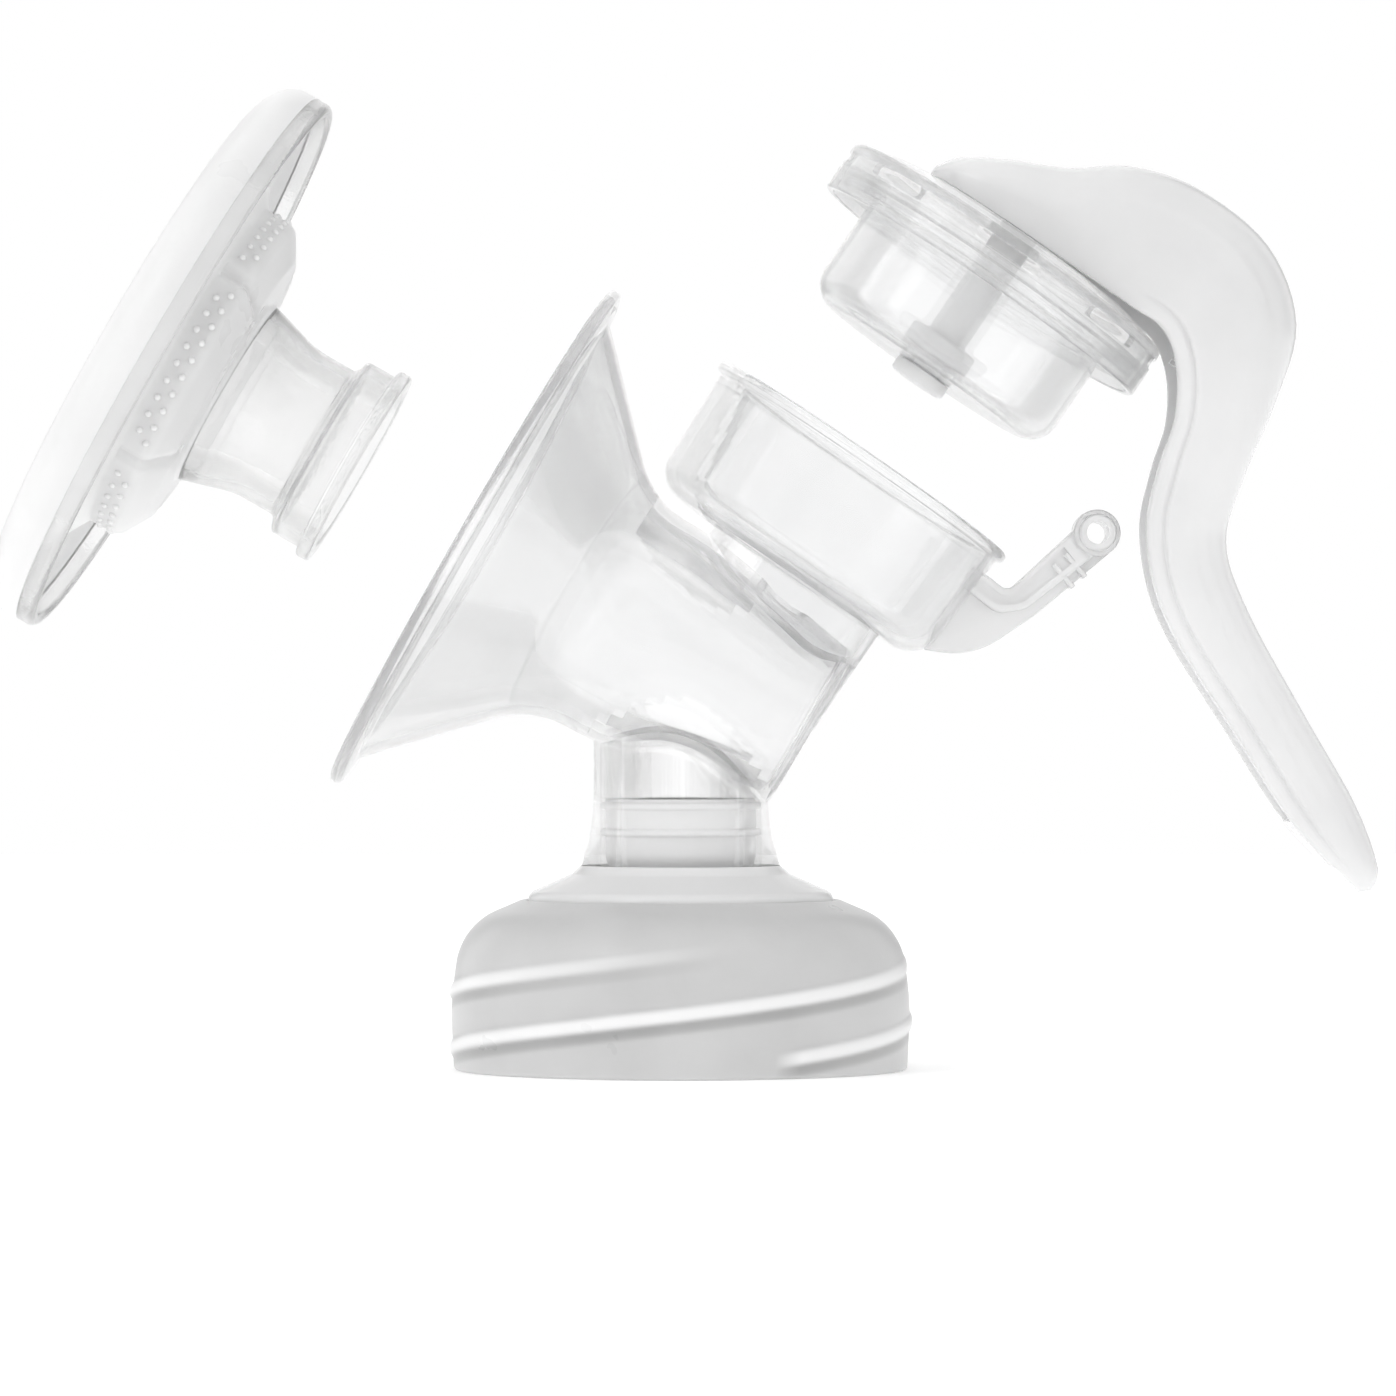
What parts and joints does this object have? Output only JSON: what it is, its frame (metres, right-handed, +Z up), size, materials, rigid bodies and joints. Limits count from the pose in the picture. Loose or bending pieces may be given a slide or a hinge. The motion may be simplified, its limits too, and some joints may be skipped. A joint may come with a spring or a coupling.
{
  "type": "manual breast pump",
  "caption": "Manual breast pump drawn apart: clear funnel body with valve and cup, soft cushion, diaphragm lid with squeeze handle, and screw collar.",
  "frame": {"origin": "centre of the screw collar's bottom face, on the surface the pump stands on", "axes": "+Z up along the valve neck, -X towards the funnel mouth, +X towards the squeeze handle, the pump is symmetric about the XZ plane"},
  "size_m": [0.2081, 0.09, 0.1476],
  "materials": {
    "clear_plastic": "clear, glossy",
    "clear_lid": "clear, glossy",
    "clear_silicone": "translucent, glossy",
    "white_silicone": "soft satin",
    "soft_silicone": "translucent satin",
    "frosted_plastic": "frosted satin",
    "white_plastic": "satin",
    "handle_plastic": "glossy"
  },
  "bodies": {
    "pump_body": {"funnel_horn": "clear_plastic", "tunnel_tube": "clear_plastic", "valve_neck": "clear_plastic", "neck_base": "clear_plastic", "valve_spout": "clear_plastic", "duckbill_valve": "white_silicone", "pump_cup": "clear_plastic", "cup_seat": "clear_plastic", "pivot_arm": "clear_plastic", "arm_web": "clear_plastic"},
    "collar": {"screw_collar": "frosted_plastic", "collar_thread": "frosted_plastic", "grip_swirls": "frosted_plastic"},
    "cushion": {"cushion_rim": "soft_silicone", "massage_pad": "soft_silicone", "cushion_neck": "soft_silicone", "cushion_cuff": "soft_silicone"},
    "lid": {"lid_cover": "clear_lid", "clamp_ring": "clear_lid", "diaphragm_rim": "clear_silicone", "diaphragm": "clear_silicone"},
    "stem": {"stem_foot": "white_plastic", "stem_shaft": "white_plastic", "stem_head": "white_plastic"},
    "handle": {"handle_shell": "handle_plastic", "pivot_hooks": "handle_plastic", "stem_clip": "handle_plastic"}
  },
  "joints": [
    {"name": "collar_spin", "type": "hinge", "parent": "pump_body", "child": "collar", "pos_m": [0, 0, 0.01], "axis": [0, 0, 1], "continuous": true},
    {"name": "cushion_slide", "type": "slide", "parent": "pump_body", "child": "cushion", "axis": [0.866, 0, -0.5], "range_m": [0, 0.0501]},
    {"name": "lid_slide", "type": "slide", "parent": "pump_body", "child": "lid", "axis": [-0.5664, 0, -0.8241], "range_m": [0, 0.0313]},
    {"name": "handle_squeeze", "type": "hinge", "parent": "lid", "child": "handle", "pos_m": [0.08003, 0, 0.1062], "axis": [0, 1, 0], "range_deg": [0, 18], "stiffness_Nm_per_rad": 0.5},
    {"name": "stem_lift", "type": "slide", "parent": "lid", "child": "stem", "axis": [0.5664, 0, 0.8241], "range_m": [0, 0.0118], "deforming": ["diaphragm"]}
  ],
  "couplings": [
    {"joint": "stem_lift", "follows": "handle_squeeze", "m_per_rad": 0.0364}
  ]
}
